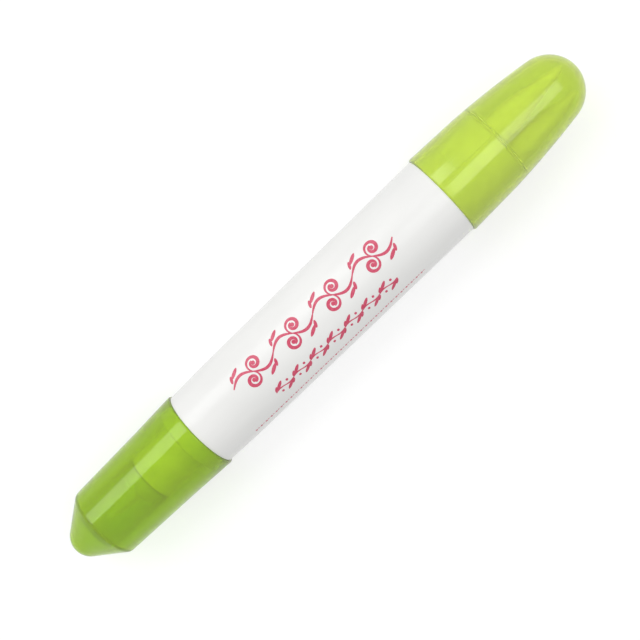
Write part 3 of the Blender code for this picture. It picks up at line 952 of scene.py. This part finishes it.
class PEN_OT_reservoir(bpy.types.Operator):
    """Finishes the wadding and its film, which keep their packed shapes inside the barrel"""

    bl_idname = "corrector_pen.reservoir"
    bl_label = "Reservoir"

    def execute(self, context):
        for name, material in (
            ("reservoir_wadding", finish("wadding", matted_wadding, context.scene.pen_felt)),
            ("reservoir_film", finish("film", clear_film)),
        ):
            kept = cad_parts[name]
            kept.data.materials.clear()
            kept.data.materials.append(material)
        return {"FINISHED"}


PAD_ROWS = 6  # along a pad
PAD_COLUMNS = 24  # round it, to bend with the collar
PAD_ROOT = 0.2 * MM  # how deep a pad goes into the collar
PAD_BEVEL = 0.08 * MM  # how much smaller its top is, all round


def socket_cutter(source, back, sizes, material):
    """What a spare tip's socket takes away from the collar, with its countersink."""
    floor, rim = low(source) - sizes.fit, back - sizes.countersink
    bore = widest(source) + sizes.fit
    past = (back + MM, bore + sizes.countersink + MM)
    cut = [(floor, 0), (floor, bore), (rim, bore), past, (past[0], 0)]
    name = source.replace("spare_tip", "socket")
    return turned(name, cut, material, is_closed=False, sides=TIP_SIDES, axis=middle(source))


def cut_away(obj, cutters):
    """Takes the cutters away from a piece, and leaves the result as its plain mesh."""
    for cutter in cutters:
        modifier = obj.modifiers.new(cutter.name, "BOOLEAN")
        modifier.operation, modifier.solver, modifier.object = "DIFFERENCE", "EXACT", cutter
    graph = bpy.context.evaluated_depsgraph_get()
    cut = bpy.data.meshes.new_from_object(obj.evaluated_get(graph), depsgraph=graph)
    obj.modifiers.clear()
    obj.data = cut
    for cutter in cutters:
        bpy.data.objects.remove(cutter)
    return close(obj)


def flat_pad(name, long, wide, proud):
    """A flat grip pad in X and Y, with its bevelled top over zero and its root under it."""
    mesh = bmesh.new()
    bmesh.ops.create_grid(mesh, x_segments=PAD_ROWS, y_segments=PAD_COLUMNS, size=0.5)
    risen = bmesh.ops.extrude_face_region(mesh, geom=mesh.faces[:], use_keep_orig=True)["geom"]
    top = {part for part in risen if isinstance(part, bmesh.types.BMVert)}
    for vert in mesh.verts:
        bevel, level = (PAD_BEVEL, proud) if vert in top else (0.0, -PAD_ROOT)
        vert.co = (vert.co.x * (long - 2 * bevel), vert.co.y * (wide - 2 * bevel), level)
    bmesh.ops.recalc_face_normals(mesh, faces=mesh.faces)
    pad = shape(name, [], [], [])
    mesh.to_mesh(pad.data)
    mesh.free()
    return pad


class PEN_OT_spare_holder(bpy.types.Operator):
    """Makes the holder behind the barrel: a collar with three sockets, and the low pads that grip its cap"""

    bl_idname = "corrector_pen.spare_holder"
    bl_label = "Spare-tip holder"

    def execute(self, context):
        sizes = context.scene.pen_holders
        front, back = low("spare_tip_holder"), high("spare_tip_holder")
        collar_front = high("barrel") + sizes.fit
        spigot = barrel_bore(context.scene) - sizes.fit
        cup = spigot - sizes.spigot_wall
        collar = widest("spare_tip_holder")
        material = finish("natural", natural_plastic, sizes)
        points = outline(
            (front + sizes.cup_depth, 0),
            (front + sizes.cup_depth, cup),
            (front, cup),
            (front, spigot),
            (collar_front, spigot),
            (collar_front, collar, sizes.edge / 2),
            (back, collar - sizes.collar_draft, sizes.edge),
            (back, 0),
        )
        made = turned("spare_tip_holder_moulding", points, material, is_closed=False)
        cut_away(made, [socket_cutter(source, back, sizes, material) for source in SPARE_TIPS])
        place_piece(made, "barrel", "holder_plastic", "spare_tip_holder")

        pads = flat_pad("spare_tip_holder_pads", sizes.pad_length, sizes.pad_arc * collar, sizes.pad_height)
        wrap(
            pads,
            material,
            (collar_front, collar),
            (back, collar - sizes.collar_draft),
            Count=sizes.pad_count,
            Start=back - sizes.edge - sizes.pad_length / 2,
            Place=sizes.pad_place,
            Turn=2 * math.pi / sizes.pad_count,
        )
        close(pads)
        place_piece(pads, "barrel", "holder_plastic")
        return {"FINISHED"}


def cap_shell(name, points, lime, sizes):
    """The turned shell of a cap: polished outside, and satin where a core pin formed it."""
    plastic = sizes, sizes.tint, sizes.dense, sizes.clear, sizes.density
    skin = f"{lime}_lime_polypropylene"
    polished = finish(f"polished {lime}", tinted_plastic, f"polished_{skin}", *plastic, sizes.gloss)
    satin = finish(f"satin {lime}", tinted_plastic, f"satin_{skin}", *plastic)
    return line_inside(turned(name, points, polished, is_closed=False), satin)


class PEN_OT_nib_cap(bpy.types.Operator):
    """Makes the cone-ended cap"""

    bl_idname = "corrector_pen.nib_cap"
    bl_label = "Nib cap"

    def execute(self, context):
        sizes = context.scene.pen_nib_cap
        end, mouth, wall, angle = low("nib_cap"), high("nib_cap"), sizes.wall, sizes.cone
        mouth_radius = barrel_front_radius(context.scene) + sizes.step
        waist, waist_radius = mouth - sizes.flare_length, mouth_radius - sizes.flare
        shoulder_radius = waist_radius - sizes.draft
        centre = end + sizes.tip
        apex = centre - sizes.tip / math.sin(angle)
        shoulder = apex + shoulder_radius / math.tan(angle)
        inner_shoulder = apex + sizes.cone_wall / math.sin(angle) + (shoulder_radius - wall) / math.tan(angle)
        outer_tip = arc(centre, sizes.tip, math.pi, math.pi / 2 + angle)
        inner_tip = arc(centre, sizes.tip - sizes.cone_wall, math.pi / 2 + angle, math.pi)
        sides = outline(
            outer_tip[-1],
            (shoulder, shoulder_radius, sizes.shoulder),
            (waist, waist_radius),
            (mouth, mouth_radius, sizes.lip),
            (mouth, mouth_radius - wall, sizes.lip / 3),
            (waist, waist_radius - wall),
            (inner_shoulder, shoulder_radius - wall, sizes.inner_shoulder),
            inner_tip[0],
        )
        made = cap_shell("nib_cap_shell", outer_tip[:-1] + sides + inner_tip[1:], "deep", sizes)
        place_piece(made, "nib_cap", "deep_lime_plastic", "nib_cap")
        return {"FINISHED"}


class PEN_OT_seal(bpy.types.Operator):
    """Makes the sealing sleeve inside the cone-ended cap"""

    bl_idname = "corrector_pen.seal"
    bl_label = "Seal"

    def execute(self, context):
        sizes = context.scene.pen_nib_cap
        start, radius = low("nib_cap_inner_seal"), widest("nib_cap_inner_seal")
        stop = high("nib_cap_inner_seal") + sizes.seal_reach
        points = outline(
            (start + sizes.seal_floor, 0),
            (start + sizes.seal_floor, radius - sizes.wall),
            (stop, radius - sizes.wall, sizes.lip / 2),
            (stop, radius, sizes.lip / 2),
            (start, radius, sizes.lip / 2),
            (start, 0),
        )
        lime = sizes, sizes.sleeve_tint, sizes.sleeve_dense, sizes.sleeve_clear, sizes.sleeve_density
        milky = finish("seal lime", tinted_plastic, "milky_lime_polyethylene", *lime)
        made = turned("nib_cap_seal_sleeve", points, milky, is_closed=False)
        place_piece(made, "nib_cap", "deep_lime_plastic", "nib_cap_inner_seal")
        return {"FINISHED"}


class PEN_OT_spare_cap(bpy.types.Operator):
    """Makes the round-nosed cap over the spare tips"""

    bl_idname = "corrector_pen.spare_cap"
    bl_label = "Spare-tip cap"

    def execute(self, context):
        sizes = context.scene.pen_spare_cap
        mouth, end, wall, slope = low("spare_tip_cap"), high("spare_tip_cap"), sizes.wall, sizes.nose_slope
        waist = high("spare_tip_holder")
        mouth_radius = widest("barrel") + sizes.step
        waist_radius = mouth_radius - sizes.draft - sizes.shelf
        nose = waist_radius - sizes.nose_step
        centre = end - nose
        outer_nose = arc(centre, nose, math.pi / 2 - slope, 0)
        inner_nose = arc(centre, nose - wall, 0, math.pi / 2 - slope)

        # From the waist to the nose the side is a parabola, which meets the nose at its slope
        stop, stop_radius = centre + nose * math.sin(slope), nose * math.cos(slope)
        run = stop - waist
        bend = (math.tan(slope) * run - (waist_radius - stop_radius)) / run**2
        first_slope = math.tan(slope) - 2 * bend * run
        steps = [run * step / CURVE_STEPS for step in range(1, CURVE_STEPS)]
        side = [(waist + s, waist_radius - first_slope * s - bend * s**2) for s in steps]
        inner_side = [(x, radius - wall) for x, radius in reversed(side)]

        lead = mouth + sizes.lead_in
        shelf, shelf_radius = waist - sizes.shelf_length, waist_radius + sizes.shelf
        lead_radius = between(lead, mouth, mouth_radius, shelf, shelf_radius) - wall
        ledge = waist + sizes.ledge
        mouth_part = outline(
            (ledge + sizes.ledge, waist_radius - wall - sizes.ledge),
            (ledge, shelf_radius - wall),
            (lead, lead_radius),
            (lead, lead_radius + sizes.lead_depth),
            (mouth, mouth_radius - wall + sizes.lead_depth, sizes.lip / 3),
            (mouth, mouth_radius, sizes.lip),
            (shelf, shelf_radius, sizes.shelf_length),
            (waist, waist_radius),
        )
        points = inner_nose + inner_side + mouth_part + side + outer_nose
        made = cap_shell("spare_tip_cap_shell", points, "yellow", sizes)
        place_piece(made, "spare_tip_cap", "yellow_lime_plastic", "spare_tip_cap")
        return {"FINISHED"}


# Stage

LEFT_SOFTBOX = ((-0.16, 0.44, 0.60), 0.54, 0.42)  # its place, width and depth in metres
RIGHT_SOFTBOX = ((0.22, -0.08, 0.60), 0.36, 0.34)


def soft_lamp(name, place, width, depth, radiance):
    """A softbox that looks at the middle of the pen, with its width along the pen."""
    lamp = bpy.data.lights.new(name, "AREA")
    lamp.shape, lamp.size, lamp.size_y = "RECTANGLE", width, depth
    lamp.energy = radiance * math.pi * width * depth
    obj = bpy.data.objects.new(name, lamp)
    back = (Vector(place) - Vector((0, 0, AXIS[1]))).normalized()
    across = back.cross(Vector((1, 0, 0))).normalized()
    turned_to = Matrix((across.cross(back), across, back)).transposed().to_4x4()
    obj.matrix_world = Matrix.Translation(place) @ turned_to
    bpy.context.scene.collection.objects.link(obj)
    return obj


def pen_camera(sizes):
    """The camera above the pen, leaning along it and rolled to the pen's slant in the picture."""
    data = bpy.data.cameras.new("camera")
    data.lens, data.sensor_width = sizes.focal, sizes.sensor
    camera = bpy.data.objects.new("camera", data)
    bpy.context.scene.collection.objects.link(camera)
    tilt, roll = sizes.camera_tilt, sizes.camera_roll
    forward = Vector((-math.sin(tilt), 0, -math.cos(tilt)))
    along = Vector((math.cos(tilt), 0, -math.sin(tilt)))
    right = along * math.cos(roll) + forward.cross(along) * math.sin(roll)
    up = right.cross(forward)
    place = Vector((sizes.camera_place, sizes.camera_offset, AXIS[1] + sizes.camera_height))
    camera.matrix_world = Matrix.Translation(place) @ Matrix((right, up, -forward)).transposed().to_4x4()
    return camera


def even_sky(strength):
    """Even light from all round, which the camera sees as plain white."""
    world = bpy.data.worlds.new("even_sky")
    world.use_nodes = True
    tree = world.node_tree
    tree.nodes.clear()
    sky = node(tree, "ShaderNodeBackground", Color=(1, 1, 1, 1), Strength=strength)
    white = node(tree, "ShaderNodeBackground", Color=(1, 1, 1, 1), Strength=1.0)
    mixed = node(tree, "ShaderNodeMixShader", background_rays(tree), sky, white)
    node(tree, "ShaderNodeOutputWorld", Surface=mixed)
    return world


class PEN_OT_stage(bpy.types.Operator):
    """Sets the camera above the pen, two soft lamps, an even sky and a plain pale floor"""

    bl_idname = "corrector_pen.stage"
    bl_label = "Stage"

    def execute(self, context):
        sizes, scene = context.scene.pen_stage, context.scene
        scene.camera = pen_camera(sizes)
        soft_lamp("left_softbox", *LEFT_SOFTBOX, sizes.left_lamp)
        soft_lamp("right_softbox", *RIGHT_SOFTBOX, sizes.right_lamp)
        scene.world = even_sky(sizes.sky)
        reach = sizes.floor_reach
        corners = [(-reach, -reach, 0), (reach, -reach, 0), (reach, reach, 0), (-reach, reach, 0)]
        floor = shape("floor", corners, [], [(0, 1, 2, 3)])
        floor.data.materials.append(finish("paper", studio_paper, sizes))
        scene.view_settings.view_transform = "Standard"
        return {"FINISHED"}


GROUPS = {
    "pen_barrel": BarrelSettings,
    "pen_print": PrintSettings,
    "pen_holders": HolderSettings,
    "pen_felt": FeltSettings,
    "pen_nib_cap": NibCapSettings,
    "pen_spare_cap": SpareCapSettings,
    "pen_stage": StageSettings,
}
STEPS = (
    PEN_OT_barrel,
    PEN_OT_print,
    PEN_OT_nib_holder,
    PEN_OT_spare_holder,
    PEN_OT_tips,
    PEN_OT_reservoir,
    PEN_OT_nib_cap,
    PEN_OT_seal,
    PEN_OT_spare_cap,
    PEN_OT_stage,
)


class PEN_PT_panel(bpy.types.Panel):
    """Lists the pen's settings and the steps that make it"""

    bl_label = "Corrector pen"
    bl_idname = "PEN_PT_panel"
    bl_space_type = "VIEW_3D"
    bl_region_type = "UI"
    bl_category = "Corrector pen"

    def draw(self, context):
        for step in STEPS:
            self.layout.operator(step.bl_idname)
        for key, group in GROUPS.items():
            box = self.layout.box()
            box.label(text=group.__doc__)
            for prop in group.__annotations__:
                box.prop(getattr(context.scene, key), prop, text=prop.replace("_", " ").capitalize())


def register():
    """Registers the settings, the steps and the panel."""
    for key, group in GROUPS.items():
        bpy.utils.register_class(group)
        setattr(bpy.types.Scene, key, PointerProperty(type=group))
    for cls in (*STEPS, PEN_PT_panel):
        bpy.utils.register_class(cls)


def unregister():
    """Takes back what register did."""
    for cls in reversed((*STEPS, PEN_PT_panel)):
        bpy.utils.unregister_class(cls)
    for key, group in GROUPS.items():
        delattr(bpy.types.Scene, key)
        bpy.utils.unregister_class(group)


def main():
    """Registers the settings, steps and panel, then makes every piece."""
    register()
    for step in STEPS:
        getattr(bpy.ops.corrector_pen, step.bl_idname.partition(".")[2])()


if __name__ == "__main__":
    main()
